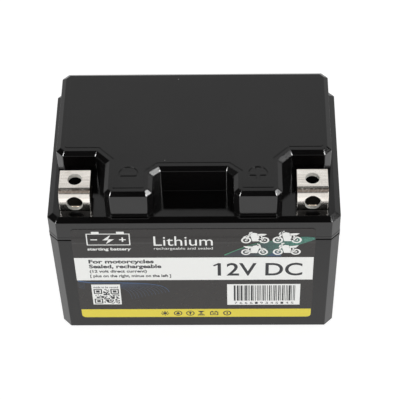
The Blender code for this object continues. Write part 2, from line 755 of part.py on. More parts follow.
def pads(foam, paper):
    add("bottom_foam_pad", box((-50, 50), (-28, 28), (FLOOR + GAP, FLOOR + GAP + BOTTOM_PAD)), foam)
    add("rear_foam_block", box((-50, 50), (CELL_Y + CELL_RADIUS + 1.2, 29.5), (9, 57)), foam)
    add("front_foam_block", box((-34, 34), (-30.6, -25.2), (7.0, 41.0)), foam)
    top_pad = (CELL_TOP_Z + 2, HEIGHT - PANEL_HEIGHT - WALL - GAP)
    add("top_foam_pad", box((-46, 46), (9, 27), top_pad), foam)
    add("insulating_sheet", box((-BOARD_HALF, BOARD_HALF), (-12.9, -12.6), (16, 56)), paper)


# ---------------------------------------------------------------- assembly

def clear_scene():
    for old in list(bpy.data.objects):
        bpy.data.objects.remove(old, do_unlink=True)


def main():
    clear_scene()
    case_black = material("case_black", (0.012, 0.012, 0.012), 0.2)
    lid_black = material("lid_black", (0.012, 0.012, 0.012), 0.15)
    label = material("label_print", (0.06, 0.058, 0.055), 0.4)
    plated = material("plated_strip", (0.75, 0.72, 0.68), 0.25, 1.0)
    rubber = material("seal_rubber", (0.03, 0.03, 0.03), 0.8)
    bead = material("adhesive", (0.35, 0.33, 0.28), 0.6)
    wrap = material("cell_wrap", (0.02, 0.09, 0.32), 0.35)
    holder = material("holder_plastic", (0.05, 0.05, 0.05), 0.5)
    nickel = material("nickel", (0.62, 0.60, 0.56), 0.35, 1.0)
    board = material("circuit_board", (0.01, 0.13, 0.05), 0.4)
    aluminium = material("aluminium", (0.77, 0.78, 0.79), 0.35, 1.0)
    white = material("white_plastic", (0.8, 0.8, 0.76), 0.45)
    copper = material("tinned_copper", (0.7, 0.62, 0.52), 0.35, 1.0)
    steel = material("zinc_steel", (0.6, 0.61, 0.63), 0.35, 1.0)
    black = material("black_silicone", (0.015, 0.015, 0.015), 0.6)
    red = material("red_silicone", (0.55, 0.02, 0.015), 0.6)
    yellow = material("yellow_silicone", (0.75, 0.5, 0.03), 0.6)
    green = material("green_silicone", (0.03, 0.3, 0.08), 0.6)
    blue = material("blue_silicone", (0.03, 0.1, 0.5), 0.6)
    foam = material("black_foam", (0.035, 0.035, 0.035), 0.95)
    paper = material("insulating_paper", (0.3, 0.32, 0.2), 0.8)

    case_box(case_black)
    lid(lid_black)
    sealing_ring(bead)
    front_label(label)
    for name, side in (("negative", -1), ("positive", 1)):
        terminal(f"{name}_terminal", side, plated)
        terminal_seal(f"{name}_terminal_seal", side, rubber)
        lug(f"{name}_lug", side, copper)
        lug_screw(f"{name}_lug_screw", side, steel)
        lug_nut(f"{name}_lug_nut", side, steel)
    for number, x in enumerate(cell_places(), 1):
        cell(f"cell_{number}", x, number % 2 == 0, wrap)
    cell_holder("lower_cell_holder", HOLDER_Z[0], holder)
    cell_holder("upper_cell_holder", HOLDER_Z[1], holder)
    end_tab("negative_end_tab", cell_places()[0], -1, nickel)
    link("link_1_2", 0, 1, False, nickel)
    link("link_2_3", 1, 2, True, nickel)
    link("link_3_4", 2, 3, False, nickel)
    end_tab("positive_end_tab", cell_places()[3], 1, nickel)
    protection_board(board)
    heat_spreader(aluminium)
    sense_connector(white)
    sense_wires([black, blue, green, yellow, red])
    leads(black, red)
    pads(foam, paper)


main()
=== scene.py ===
import math
import random

import bmesh
import bpy
from mathutils import Matrix, Vector


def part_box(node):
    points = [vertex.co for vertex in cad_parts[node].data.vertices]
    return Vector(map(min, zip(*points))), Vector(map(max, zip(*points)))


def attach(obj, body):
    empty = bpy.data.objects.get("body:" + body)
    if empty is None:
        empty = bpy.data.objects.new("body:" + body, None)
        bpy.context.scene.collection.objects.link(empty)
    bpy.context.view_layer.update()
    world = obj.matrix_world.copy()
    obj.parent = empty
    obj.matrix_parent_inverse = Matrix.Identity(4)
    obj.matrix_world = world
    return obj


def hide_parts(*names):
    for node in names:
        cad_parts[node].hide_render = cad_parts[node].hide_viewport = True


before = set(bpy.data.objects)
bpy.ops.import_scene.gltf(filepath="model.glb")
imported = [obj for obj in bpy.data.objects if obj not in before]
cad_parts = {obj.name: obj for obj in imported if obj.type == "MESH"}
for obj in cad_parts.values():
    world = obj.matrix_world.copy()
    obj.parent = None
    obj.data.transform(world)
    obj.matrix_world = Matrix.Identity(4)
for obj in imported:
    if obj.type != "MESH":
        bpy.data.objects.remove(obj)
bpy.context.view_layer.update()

# Small sealed motorcycle battery: visible shells, folded terminals, printed label, foam and finishes.
# Lengths are in millimetres and become metres in add().

MM = 0.001


def span(node):
    """A CAD node's lowest and highest corner in millimetres."""
    low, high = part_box(node)
    return low / MM, high / MM


LID_HIGH = span("lid")[1]
LEFT_LOW, LEFT_HIGH = span("negative_terminal")
LABEL_LOW, LABEL_HIGH = span("front_label")

GAP = 0.3                      # clearance between neighbouring pieces
LIP = 0.1                      # how far the lips at the seam stand proud of the walls
HALF_X = LID_HIGH.x - LIP
HALF_Y = LID_HIGH.y - LIP
HEIGHT = LID_HIGH.z
CORNER = 3.4
WALL = 2.2
FLOOR = 2.4
DRAFT_X = 0.4                  # how far each side wall leans in at the bottom
DRAFT_Y = 1.2
FOOT_BEVEL = 0.2
SEAM_Z = 60.1                  # middle of the joint between case and lid
SEAM_GAP = 0.6
LIP_HEIGHT = 1.3
DRAFT_TOP_Z = SEAM_Z - SEAM_GAP / 2 - LIP_HEIGHT - LIP
TONGUE = 1.1                   # the case's tongue inside the lid's skirt
TONGUE_TOP_Z = 62.6
REBATE_TOP_Z = 64.2
BEVEL = 1.7                    # width of the bevel round the raised block
BEVEL_RISE = 1.3
LEDGE_Z = 71.9
SHOULDER = 2.2                 # width of the bevel round the ledge
SHOULDER_Z = LEDGE_Z - 1.45
BLOCK_X = 53.7                 # half length of the raised block
BLOCK_BACK_Y = 32.1
BLOCK_CORNER = 2.6
NOTCH_Y = -11.8                # back wall of the two terminal notches
NOTCH_X = 38.3                 # where that wall turns into the diagonal
BUMP_OUTER_X = 34.2
BUMP_DIAGONAL_Y = -15.9
BUMP_FRONT_Y = -32.4
BUMP_INNER_X = 15.6
BUMP_CORNER = 2.2
RECESS_Y = -19.8               # back wall of the middle recess
RECESS_X = 12.7
RECESS_DIAGONAL_Y = -22.2
PANEL_INSET = 3.3              # from the block's walls to the shallow raised panel on top
PANEL_HEIGHT = 0.2
BLOCK_FOOT = 0.12              # fillet where the block rises from the ledge
EDGE = 0.16                    # rounding of the moulded edges
UPRIGHT_EDGE = 0.45            # rounding of the upright edges
BLOCK_EDGE = 0.8               # the same on the raised block
LIP_EDGE = 0.06                # bevel of the two edges that face each other at the seam
PAST = 1.0                     # how far a cutter or a joined solid reaches past a face
MERGE = 0.004                  # points closer than this become one after a cut
MARK_X = 24.9
MARK_Y = -22.3
MARK_RADIUS = 3.8
MARK_DEPTH = 0.32
MARK_BAR = (6.2, 1.4)
MARK_BAR_Y = 0.1               # the bar lies a little behind the dish's middle
MARK_STEM = (-3.95, 3.0)       # the upright bar of the plus, along Y
MARK_SUNK = 0.04               # how far the bars stay below the panel's face

TERMINAL_X = (LEFT_LOW.x + LEFT_HIGH.x) / -2
TERMINAL_HALF = (LEFT_HIGH.x - LEFT_LOW.x) / 2
TERMINAL_FRONT_Y = LEFT_LOW.y
TERMINAL_BACK_Y = LEFT_HIGH.y
TERMINAL_TOP_Z = LEFT_HIGH.z
TERMINAL_BOTTOM_Z = 70.0
STRIP = 2.0                    # thickness of the folded strip
STRIP_EDGE = 0.3
STRIP_END = ((0, 0.22), (0.07, 0.07), (0.24, 0))    # from a cut end, and how far the edges draw in there
HOLE_FLARE = 0.12              # rounding of the holes' edges
BOTTOM_BEND = 2.5
TOP_BEND = 4.0
TOP_HOLE_RADIUS = 2.7
TOP_HOLE_Y = -21.6
SLOT_HALF = (3.05, 3.6)        # half width and half height of the oval hole in the front plate
SLOT_Z = 75.95
SLOT_TILT = math.radians(6)
TAB_HALF = 3.5
TAB_THICKNESS = 1.6
TAB_Y = -20.8                  # middle of the tab that goes down through the lid
LUG_Z = 60.8                   # height of the lug's screw
SCREW_RADIUS = 1.9
BOSS_WALL = 1.2                # wall of the lid's boss round a terminal's pocket

SHEET = 0.09                   # thickness of the label's sheet
SHEET_GAP = 0.04
SHEET_CORNER = 2.2
PRINT = 0.02                   # thickness of one printed layer
RIDGE_Z = (57.6, 62.6)         # foot and top of the label's soft ridge over the lips
RIDGE_RISE = 1.4
RIDGE_STEP = 0.25
CAPITAL = 0.7                  # height of the built-in font's capitals at size 1

LAMP_DISTANCE = 1.4            # metres
CAMERA_AT = (16.43, -421.01, 556.07)
CAMERA_TURN = (-2.128, 50.58, -1.93)    # degrees: yaw to the right, pitch down, roll
LENS = 144.73                  # for a sensor 36 mm wide
LENS_SHIFT = (0.0046, -0.0060)


# ---------------------------------------------------------------- outlines and solids

def rounded(points, radius, closed=True, steps=4):
    """The outline with small arcs for corners; radius is one number, or one for each point."""
    made = []
    count = len(points)
    radii = radius if isinstance(radius, (list, tuple)) else [radius] * count
    for i, (place, r) in enumerate(zip(points, radii)):
        here = Vector(place)
        if r == 0 or (not closed and i in (0, count - 1)):
            made.append(tuple(here))
            continue
        back = Vector(points[i - 1]) - here
        ahead = Vector(points[(i + 1) % count]) - here
        turn = math.pi - back.angle(ahead)
        reach = min(r * math.tan(turn / 2), 0.45 * back.length, 0.45 * ahead.length)
        a = here + back.normalized() * reach
        b = here + ahead.normalized() * reach
        for k in range(steps + 1):
            t = k / steps
            made.append(tuple(a * (1 - t) ** 2 + here * (2 * t * (1 - t)) + b * t * t))
    return made


def inset(outline, distance):
    """The outline moved inwards, or outwards by a negative distance."""
    moved = []
    count = len(outline)
    for i in range(count):
        before = Vector(outline[i - 1])
        here = Vector(outline[i])
        after = Vector(outline[(i + 1) % count])
        a = (here - before).normalized()
        b = (after - here).normalized()
        normal_a = Vector((-a.y, a.x))
        normal_b = Vector((-b.y, b.x))
        moved.append(tuple(here + (normal_a + normal_b) / (1 + normal_a.dot(normal_b)) * distance))
    return moved


def corner_rectangle(half_x, half_y, chamfer):
    """A rectangle with cut corners, round the origin."""
    right = [(half_x - chamfer, -half_y), (half_x, chamfer - half_y)]
    right += [(x, -y) for x, y in reversed(right)]
    return right + [(-x, y) for x, y in reversed(right)]


def wall_at(z, out):
    """The case's walls at a height, with the draft of the lower part, moved outwards."""
    lean = 1 - min(max((z - FOOT_BEVEL) / (DRAFT_TOP_Z - FOOT_BEVEL), 0), 1)
    return inset(corner_rectangle(HALF_X - DRAFT_X * lean, HALF_Y - DRAFT_Y * lean, CORNER), -out)


def block_outline():
    """The foot of the raised block: middle recess, two bumps, two terminal notches and cut corners."""
    right = [
        (RECESS_X, RECESS_Y),
        (BUMP_INNER_X, RECESS_DIAGONAL_Y),
        (BUMP_INNER_X, BUMP_FRONT_Y + BUMP_CORNER),
        (BUMP_INNER_X + BUMP_CORNER, BUMP_FRONT_Y),
        (BUMP_OUTER_X - BUMP_CORNER, BUMP_FRONT_Y),
        (BUMP_OUTER_X, BUMP_FRONT_Y + BUMP_CORNER),
        (BUMP_OUTER_X, BUMP_DIAGONAL_Y),
        (NOTCH_X, NOTCH_Y),
        (BLOCK_X - BLOCK_CORNER, NOTCH_Y),
        (BLOCK_X, NOTCH_Y + BLOCK_CORNER),
        (BLOCK_X, BLOCK_BACK_Y - BLOCK_CORNER),
        (BLOCK_X - BLOCK_CORNER, BLOCK_BACK_Y),
    ]
    return right + [(-x, y) for x, y in reversed(right)]


def circle(radius, steps=48):
    angles = [2 * math.pi * i / steps for i in range(steps)]
    return [(radius * math.cos(angle), radius * math.sin(angle)) for angle in angles]


def loft(sections, at=(0, 0)):
    """A closed solid through (outline, z) sections that have equal numbers of points."""
    bm = bmesh.new()
    rings = []
    for outline, z in sections:
        rings.append([bm.verts.new((x + at[0], y + at[1], z)) for x, y in outline])
    bm.faces.new(reversed(rings[0]))
    bm.faces.new(rings[-1])
    count = len(rings[0])
    for low, high in zip(rings, rings[1:]):
        for i in range(count):
            j = (i + 1) % count
            bm.faces.new((low[i], low[j], high[j], high[i]))
    return bm


def shell(outline, profile, radius):
    """A loft of one outline, moved outwards as the (out, z) profile says, with round upright edges."""
    return loft([(rounded(inset(outline, -out), radius), z) for out, z in profile])


def walls(profile):
    """A loft of the case's drafted walls, as shell() makes of one outline."""
    return loft([(rounded(wall_at(z, out), UPRIGHT_EDGE), z) for out, z in profile])


def box(x, y, z):
    """A box from (low, high) pairs along the three axes."""
    corners = [(x[0], y[0]), (x[1], y[0]), (x[1], y[1]), (x[0], y[1])]
    return loft([(corners, level) for level in z])


def turned(bm, angle, at):
    """The mesh turned about the X axis and then moved."""
    turn = Matrix.Translation(at) @ Matrix.Rotation(angle, 4, "X")
    bmesh.ops.transform(bm, matrix=turn, verts=bm.verts)
    return bm


# ---------------------------------------------------------------- objects

def add(name, bm, finish=None, smooth=32):
    """An object from a mesh in millimetres, smooth below an angle in degrees, or flat at 0."""
    bmesh.ops.scale(bm, vec=(MM, MM, MM), verts=bm.verts)
    mesh = bpy.data.meshes.new(name)
    bm.to_mesh(mesh)
    bm.free()
    if smooth:
        mesh.shade_smooth()
        mesh.set_sharp_from_angle(angle=math.radians(smooth))
    made = bpy.data.objects.new(name, mesh)
    bpy.context.scene.collection.objects.link(made)
    if finish:
        mesh.materials.append(finish)
    return made


def carve(name, bm, steps, finish):
    """A solid with others joined to it or cut from it, as one finished mesh."""
    target = add(name, bm, smooth=0)
    helpers = []
    for operation, tool in steps:
        helper = add(name + "_tool", tool, smooth=0)
        modifier = target.modifiers.new(operation, "BOOLEAN")
        modifier.operation = operation
        modifier.solver = "EXACT"
        modifier.object = helper
        helpers.append(helper)
    graph = bpy.context.evaluated_depsgraph_get()
    mesh = bpy.data.meshes.new_from_object(target.evaluated_get(graph))
    for spare in helpers + [target]:
        bpy.data.objects.remove(spare)
    bm = bmesh.new()
    bm.from_mesh(mesh)
    bmesh.ops.remove_doubles(bm, verts=bm.verts, dist=MERGE * MM)
    bmesh.ops.dissolve_degenerate(bm, edges=bm.edges, dist=MERGE / 2 * MM)
    bmesh.ops.recalc_face_normals(bm, faces=bm.faces)
    bmesh.ops.scale(bm, vec=(1 / MM, 1 / MM, 1 / MM), verts=bm.verts)
    made = add(name, bm, finish)
    even = made.modifiers.new("Even normals", "WEIGHTED_NORMAL")
    even.keep_sharp = True
    return made


def place(piece, slot, *nodes):
    """The piece rides on the battery's one body and may stand for CAD nodes, which it hides. The slot is
    not used.
    """
    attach(piece, "root")
    if nodes:
        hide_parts(*nodes)


# ---------------------------------------------------------------- materials

def add_node(tree, kind, inputs, **settings):
    """A shader node; each input, by name or number, is a socket or a fixed value."""
    made = tree.nodes.new(kind)
    for key, value in settings.items():
        setattr(made, key, value)
    for key, value in inputs.items():
        if isinstance(value, bpy.types.NodeSocket):
            tree.links.new(value, made.inputs[key])
        else:
            made.inputs[key].default_value = value
    return made


class Finish:
    """A node material on a Principled shader, built up a step at a time."""

    def __init__(self, name, colour, roughness, metallic=0.0, ior=1.5):
        self.material = bpy.data.materials.new(name)
        self.material.use_nodes = True
        self.material.diffuse_color = (*colour, 1.0)
        self.tree = self.material.node_tree
        self.shader = self.tree.nodes["Principled BSDF"]
        for key, value in (("Base Color", (*colour, 1.0)), ("Roughness", roughness),
                           ("Metallic", metallic), ("IOR", ior)):
            self.shader.inputs[key].default_value = value
        self.place = self.node("ShaderNodeTexCoord", {}).outputs["Object"]
        self.height = None

    def node(self, kind, inputs, **settings):
        return add_node(self.tree, kind, inputs, **settings)

    def stretched(self, scale):
        """The object's coordinates scaled along each axis."""
        return self.node("ShaderNodeMapping", {"Vector": self.place, "Scale": scale}).outputs["Vector"]

    def along(self, axis):
        return self.node("ShaderNodeSeparateXYZ", {0: self.place}).outputs[axis]

    def noise(self, scale, detail=3.0, vector=None):
        inputs = {"Vector": vector or self.place, "Scale": scale, "Detail": detail}
        return self.node("ShaderNodeTexNoise", inputs).outputs["Fac"]

    def dots(self, scale):
        """Distance from the nearest of many scattered points."""
        return self.node("ShaderNodeTexVoronoi", {"Vector": self.place, "Scale": scale}).outputs["Distance"]

    def between(self, value, low, high, to_low=0.0, to_high=1.0):
        """A value mapped from one range to another and held at its ends."""
        inputs = {"Value": value, "From Min": low, "From Max": high, "To Min": to_low, "To Max": to_high}
        return self.node("ShaderNodeMapRange", inputs).outputs["Result"]

    def times(self, a, b):
        return self.node("ShaderNodeMath", {0: a, 1: b}, operation="MULTIPLY").outputs[0]

    def mixed(self, factor, a, b):
        """Two colours, each a tuple or a socket, mixed by a factor."""
        a, b = ((*colour, 1.0) if isinstance(colour, tuple) else colour for colour in (a, b))
        return self.node("ShaderNodeMix", {"Factor": factor, 6: a, 7: b}, data_type="RGBA").outputs[2]

    def colour(self, socket):
        self.tree.links.new(socket, self.shader.inputs["Base Color"])

    def rough(self, socket):
        self.tree.links.new(socket, self.shader.inputs["Roughness"])

    def bump(self, value, strength, distance):
        """One more bump, on top of those already there."""
        inputs = {"Height": value, "Strength": strength, "Distance": distance}
        if self.height:
            inputs["Normal"] = self.height
        self.height = self.node("ShaderNodeBump", inputs).outputs["Normal"]
        self.tree.links.new(self.height, self.shader.inputs["Normal"])


def moulded_black(name, colour, roughness, ior):
    """Glossy black plastic: slow unevenness, fine grain, faint handling haze and a few dust specks."""
    made = Finish(name, colour, roughness, ior=ior)
    lighter = tuple(c * 1.5 + 0.0008 for c in colour)
    haze = made.noise(28, 4)
    base = made.mixed(made.between(haze, 0.4, 0.7), colour, lighter)
    specks = made.between(made.dots(150), 0.045, 0.027)
    dust = made.times(specks, made.between(made.noise(60, 2), 0.56, 0.62))
    made.colour(made.mixed(dust, base, (0.35, 0.34, 0.33)))
    made.rough(made.between(made.noise(45, 5), 0.3, 0.75, roughness * 0.85, roughness * 1.25))
    made.bump(made.noise(900, 2), 0.10, 0.00002)
    made.bump(made.noise(70, 2), 0.16, 0.0001)
    return made.material


def plated():
    """Bright plated strip, brushed along X and slightly tarnished, with painted shade on the upper bend: a
    dark band, lighter in its middle, mottled by noise and rougher.
    """
    made = Finish("plated_strip_finish", (0.88, 0.83, 0.77), 0.2, metallic=1.0)
    streak = made.noise(1, 4, made.stretched((60, 2600, 2600)))
    cloud = made.noise(260, 3)
    base = made.mixed(made.between(streak, 0.35, 0.7), (0.97, 0.93, 0.87), (0.88, 0.82, 0.75))
    clean = made.mixed(made.between(cloud, 0.55, 0.8, 0, 0.35), base, (0.52, 0.45, 0.38))
    height = made.along("Z")

    def under_top(start, end):
        """0 at one depth in millimetres under the strip's top face, and 1 at another."""
        return made.between(height, (TERMINAL_TOP_Z - start) * MM, (TERMINAL_TOP_Z - end) * MM)

    # Painted shade: a mottled dark band with a lighter middle, just under the top face where the upper bend
    # turns down.
    bend = made.times(under_top(0.05, 0.10), under_top(1.1, 0.8))
    painted_shade_mask = made.times(bend, made.between(made.noise(1300, 4), 0.25, 0.5, 0.6, 1))
    middle = made.times(under_top(0.20, 0.30), under_top(0.72, 0.58))
    band = made.mixed(middle, (0.06, 0.05, 0.042), (0.22, 0.18, 0.15))
    made.colour(made.mixed(painted_shade_mask, clean, band))
    smooth = made.between(streak, 0.3, 0.75, 0.10, 0.22)
    rough = made.node("ShaderNodeMath", {0: painted_shade_mask, 1: 0.25, 2: smooth}, operation="MULTIPLY_ADD",
                      use_clamp=True)
    made.rough(rough.outputs[0])
    made.bump(streak, 0.25, 0.00003)
    made.bump(cloud, 0.1, 0.0001)
    return made.material


def grained(name, colour, roughness, metallic=0.0, scale=400, depth=0.2, spread=0.25):
    """A plain surface with fine grain, a little variation of colour and uneven gloss."""
    made = Finish(name, colour, roughness, metallic)
    dark = tuple(c * (1 - spread) for c in colour)
    light = tuple(min(1.0, c * (1 + spread)) for c in colour)
    made.colour(made.mixed(made.between(made.noise(scale / 5, 4), 0.35, 0.65), dark, light))
    least, most = roughness * 0.85, min(1, roughness * 1.15)
    made.rough(made.between(made.noise(scale / 2, 3), 0.3, 0.7, least, most))
    made.bump(made.noise(scale, 2), depth, 0.0001)
    return made.material


def foam():
    """Dull black foam with fine pores."""
    made = Finish("open_foam", (0.03, 0.03, 0.031), 0.95)
    pores = made.dots(900)
    open_cell = made.between(pores, 0.1, 0.6)
    made.colour(made.mixed(open_cell, (0.012, 0.012, 0.013), (0.05, 0.05, 0.052)))
    made.rough(made.between(made.noise(300), 0.3, 0.7, 0.88, 1.0))
    made.bump(pores, 0.7, 0.0004)
    return made.material


def printed(name, colour, roughness=0.34, spread=0.05):
    """Ink on the label's film: even, with fine grain of the printing."""
    made = Finish(name, colour, roughness, ior=1.44)
    edge = tuple(c * (1 - spread) for c in colour)
    made.colour(made.mixed(made.between(made.noise(2500, 2), 0.35, 0.7), colour, edge))
    made.rough(made.between(made.noise(120, 3), 0.3, 0.7, roughness * 0.9, roughness * 1.1))
    made.bump(made.noise(90, 2), 0.10, 0.0001)
    return made.material


# ---------------------------------------------------------------- case and lid

def case_shell(finish):
    """The open box with its lip and the tongue that stands up inside the lid."""
    rim = SEAM_Z - SEAM_GAP / 2
    lip = rim - LIP_HEIGHT
    profile = rounded([
        (-FOOT_BEVEL - 0.6, 0), (-FOOT_BEVEL, 0), (0, FOOT_BEVEL), (0, lip - LIP), (LIP, lip),
        (LIP, rim - LIP_EDGE), (LIP - LIP_EDGE, rim),
    ], [0, 0.1, 0.15, 0.1, 0.1, 0.05, 0], closed=False)
    tongue = wall_at(rim, TONGUE - WALL)
    inner = wall_at(rim, -WALL)
    return carve("case_shell", walls(profile), [
        ("UNION", loft([(tongue, rim - PAST), (tongue, TONGUE_TOP_Z)])),
        ("DIFFERENCE", loft([(wall_at(FLOOR, -WALL), FLOOR), (inner, rim), (inner, TONGUE_TOP_Z + PAST)])),
    ], finish)


def terminal_seat(side):
    """Boss, pocket and slot for one terminal, as steps of carve()."""
    middle = side * TERMINAL_X
    half = TERMINAL_HALF + GAP
    floor = TERMINAL_BOTTOM_Z - GAP
    wide = half + BOSS_WALL
    front = TERMINAL_FRONT_Y - GAP
    back = TERMINAL_BACK_Y + GAP
    slot = TAB_HALF + GAP
    deep = TAB_THICKNESS / 2 + GAP
    return [
        ("UNION", box((middle - wide, middle + wide), (front - BOSS_WALL, back + BOSS_WALL),
                      (floor - WALL, LEDGE_Z - WALL + 0.5))),
        ("DIFFERENCE", box((middle - half, middle + half), (front, back), (floor, LEDGE_Z + PAST))),
        ("DIFFERENCE", box((middle - slot, middle + slot), (TAB_Y - deep, TAB_Y + deep),
                           (floor - WALL - PAST, floor + PAST))),
    ]


def polarity_mark(x, bars):
    """A round dish with a raised bar or cross, as steps of carve()."""
    floor = HEIGHT - MARK_DEPTH
    top = HEIGHT - MARK_SUNK
    dish = rounded([
        (0.5, floor), (MARK_RADIUS, floor), (MARK_RADIUS, HEIGHT), (MARK_RADIUS + PAST, HEIGHT + 0.01),
        (MARK_RADIUS + PAST, HEIGHT + PAST),
    ], [0, 0.12, 0.1, 0, 0], closed=False)
    steps = [("DIFFERENCE", loft([(circle(r), z) for r, z in dish], (x, MARK_Y)))]
    profile = rounded([(0.1, floor - 0.3), (0.04, top), (-0.3, top)], 0.12, closed=False)
    for (x0, x1), (y0, y1) in bars:
        corner = [(x1, y0), (x1, y1), (x0, y1), (x0, y0)]
        bar = loft([(rounded(inset(corner, -out), 0.2), z) for out, z in profile], (x, MARK_Y))
        steps.append(("UNION", bar))
    return steps


def lid_shell(finish):
    """Skirt and ledge with the raised block, its panel and marks, hollow below, with two terminal seats."""
    rim = SEAM_Z + SEAM_GAP / 2
    lip = rim + LIP_HEIGHT
    deck = HEIGHT - PANEL_HEIGHT
    under = LEDGE_Z - WALL
    block = block_outline()
    sunk = LEDGE_Z - 0.02
    tongue_room = wall_at(rim, TONGUE - WALL + GAP)
    inner = wall_at(rim, -WALL)
    skirt = rounded([
        (LIP - LIP_EDGE, rim), (LIP, rim + LIP_EDGE), (LIP, lip), (0, lip + LIP), (0, SHOULDER_Z),
        (-SHOULDER, LEDGE_Z), (-SHOULDER - 0.8, LEDGE_Z),
    ], [0, 0.05, 0.1, 0.1, EDGE, EDGE, 0], closed=False)
    raised = rounded([
        (1.1, LEDGE_Z - 0.6), (1.1, sunk), (0, sunk), (0, deck - BEVEL_RISE), (-BEVEL, deck),
        (-BEVEL - 0.6, deck),
    ], [0, 0, BLOCK_FOOT, EDGE, EDGE, 0], closed=False)
    panel = rounded([
        (-PANEL_INSET, HEIGHT - PAST), (-PANEL_INSET - 0.05, HEIGHT), (-PANEL_INSET - 0.28, HEIGHT),
    ], 0.22, closed=False)
    steps = [
        ("UNION", shell(block, raised, BLOCK_EDGE)),
        ("UNION", shell(block, panel, 0.25)),
        ("DIFFERENCE", loft([(inset(block, WALL), under - PAST), (inset(block, WALL), deck - WALL)])),
        ("DIFFERENCE", loft([(tongue_room, rim - PAST), (tongue_room, REBATE_TOP_Z),
                             (inner, REBATE_TOP_Z + 0.01), (inner, under)])),
    ]
    for side in (-1, 1):
        steps += terminal_seat(side)
    length, width = (side / 2 for side in MARK_BAR)
    bar = ((-length, length), (MARK_BAR_Y - width, MARK_BAR_Y + width))
    steps += polarity_mark(-MARK_X, [bar])
    steps += polarity_mark(MARK_X, [bar, ((-width, width), MARK_STEM)])
    return carve("lid_shell", walls(skirt), steps, finish)


# ---------------------------------------------------------------- terminals

def strip_path():
    """Stations along the middle of the strip: (y, z), outward normal, and how far the edges draw in."""
    half = STRIP / 2
    stations = []
    for along, draw in STRIP_END:
        stations.append(((TERMINAL_BACK_Y - along, TERMINAL_BOTTOM_Z + half), (0, -1), draw))
    for bend, z, start, end, steps in (
        (BOTTOM_BEND, TERMINAL_BOTTOM_Z + BOTTOM_BEND, -90, -180, 8),
        (TOP_BEND, TERMINAL_TOP_Z - TOP_BEND, 180, 90, 14),
    ):
        for i in range(steps + 1):
            angle = math.radians(start + (end - start) * i / steps)
            c, s = math.cos(angle), math.sin(angle)
            reach = bend - half
            stations.append(((TERMINAL_FRONT_Y + bend + reach * c, z + reach * s), (c, s), 0))
    for along, draw in reversed(STRIP_END):
        stations.append(((TERMINAL_BACK_Y - along, TERMINAL_TOP_Z - half), (0, 1), draw))
    return stations


def folded_strip():
    """The strip's section swept along its path."""
    bm = bmesh.new()
    rings = []
    for (y, z), normal, draw in strip_path():
        half_x = TERMINAL_HALF - draw
        half_n = STRIP / 2 - draw
        section = [(half_x, -half_n), (half_x, half_n), (-half_x, half_n), (-half_x, -half_n)]
        ring = rounded(section, max(STRIP_EDGE - draw, 0.06))
        rings.append([bm.verts.new((x, y + n * normal[0], z + n * normal[1])) for x, n in ring])
    bm.faces.new(rings[0])
    bm.faces.new(reversed(rings[-1]))
    count = len(rings[0])
    for low, high in zip(rings, rings[1:]):
        for i in range(count):
            j = (i + 1) % count
            bm.faces.new((low[j], low[i], high[i], high[j]))
    bmesh.ops.recalc_face_normals(bm, faces=bm.faces)
    return bm


def flared_hole(outline, start, end):
    """A cutter along +Z that flares at both faces of a plate, so that the hole's edges come out round."""
    flare, past = HOLE_FLARE, 0.6
    steps = [(flare + past, -past), (flare, 0), (flare * 0.3, flare * 0.35), (0, flare)]
    sections = [(out, start + deep) for out, deep in steps]
    sections += [(out, end - deep) for out, deep in reversed(steps)]
    return loft([(inset(outline, -out), z) for out, z in sections])


def terminal(name, side, finish, inside, cut_edge):
    """A folded strip with holes and a tab; faces inside the fold and in the holes have their own finish."""
    capsule = []
    straight = SLOT_HALF[1] - SLOT_HALF[0]
    for i in range(48):
        angle = 2 * math.pi * (i + 0.5) / 48
        lift = straight if math.sin(angle) > 0 else -straight
        capsule.append((SLOT_HALF[0] * math.cos(angle), SLOT_HALF[0] * math.sin(angle) + lift))
    front = turned(flared_hole(capsule, 0, STRIP), -math.pi / 2 - SLOT_TILT, (0, TERMINAL_FRONT_Y, SLOT_Z))
    top = flared_hole(circle(TOP_HOLE_RADIUS), TERMINAL_TOP_Z - STRIP, TERMINAL_TOP_Z)
    bmesh.ops.translate(top, vec=(0, TOP_HOLE_Y, 0), verts=top.verts)
    bore = turned(loft([(circle(SCREW_RADIUS + GAP, 24), z) for z in (-2, 2)]),
                  -math.pi / 2, (0, TAB_Y, LUG_Z))
    made = carve(name, folded_strip(), [
        ("UNION", box((-TAB_HALF, TAB_HALF), (TAB_Y - TAB_THICKNESS / 2, TAB_Y + TAB_THICKNESS / 2),
                      (LEFT_LOW.z, TERMINAL_BOTTOM_Z + STRIP / 2))),
        ("DIFFERENCE", top),
        ("DIFFERENCE", front),
        ("DIFFERENCE", bore),
    ], finish)
    made.data.materials.append(inside)      # material 1
    made.data.materials.append(cut_edge)    # material 2

    def on_hole(x, y, z):
        """Whether a point lies on the wall or the flared edge of one of the two holes."""
        if z > TERMINAL_TOP_Z - STRIP - 0.1:
            return math.hypot(x, y - TOP_HOLE_Y) < TOP_HOLE_RADIUS + 0.13
        tall = (z - SLOT_Z) / (SLOT_HALF[1] + 0.45)
        return math.hypot(x / (SLOT_HALF[0] + 0.3), tall) < 1 and y < TERMINAL_FRONT_Y + STRIP + 0.6

    for face in made.data.polygons:
        if all(on_hole(*(made.data.vertices[i].co / MM)) for i in face.vertices):
            face.material_index = 2
            continue
        _, y, z = face.center / MM
        deep = y > TERMINAL_FRONT_Y + STRIP - 0.05
        low = z > TERMINAL_BOTTOM_Z + STRIP - 0.05
        high = z < TERMINAL_TOP_Z - STRIP + 0.05
        if deep and low and high and y < TERMINAL_BACK_Y - 0.1:
            face.material_index = 1
    for vertex in made.data.vertices:
        vertex.co.x += side * TERMINAL_X * MM
    return made


# ---------------------------------------------------------------- label

def smooth_step(t):
    t = min(max(t, 0), 1)
    return t * t * (3 - 2 * t)


